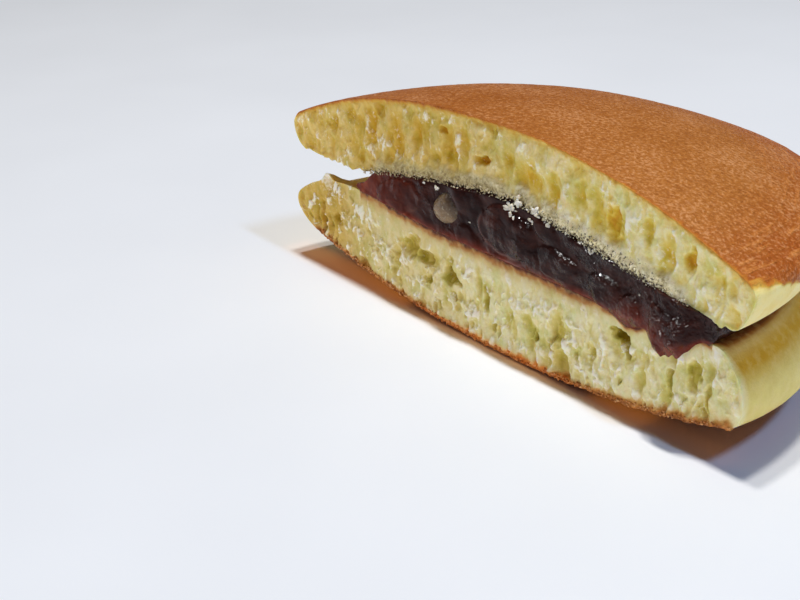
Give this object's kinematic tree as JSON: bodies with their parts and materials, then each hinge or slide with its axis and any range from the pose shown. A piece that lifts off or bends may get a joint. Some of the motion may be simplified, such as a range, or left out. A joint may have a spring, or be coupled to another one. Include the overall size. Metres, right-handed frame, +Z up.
{
  "type": "dorayaki half",
  "caption": "Half of a dorayaki, cut straight through: two domed griddle cakes with sweet bean paste between them, a whole bean showing at the cut.",
  "frame": {"origin": "bottom centre of the bounding box, on the surface that the half rests on", "axes": "+X runs along the cut, -Y is the way the cut face looks, +Y points to the round rim behind it, and +Z is up"},
  "size_m": [0.0978, 0.0514, 0.0353],
  "materials": {
    "upper_sponge": "browned, finely dimpled skin with a soft sheen over pale yellow sponge",
    "lower_sponge": "pale yellow open sponge with a browned, rough bottom crust",
    "bean_paste": "wet, glossy, lumpy dark bean paste",
    "bean_skin": "wet grey-brown bean skin"
  },
  "bodies": {
    "root": {"upper_cake": "upper_sponge", "lower_cake": "lower_sponge", "bean_paste": "bean_paste", "whole_bean": "bean_skin"}
  },
  "joints": []
}
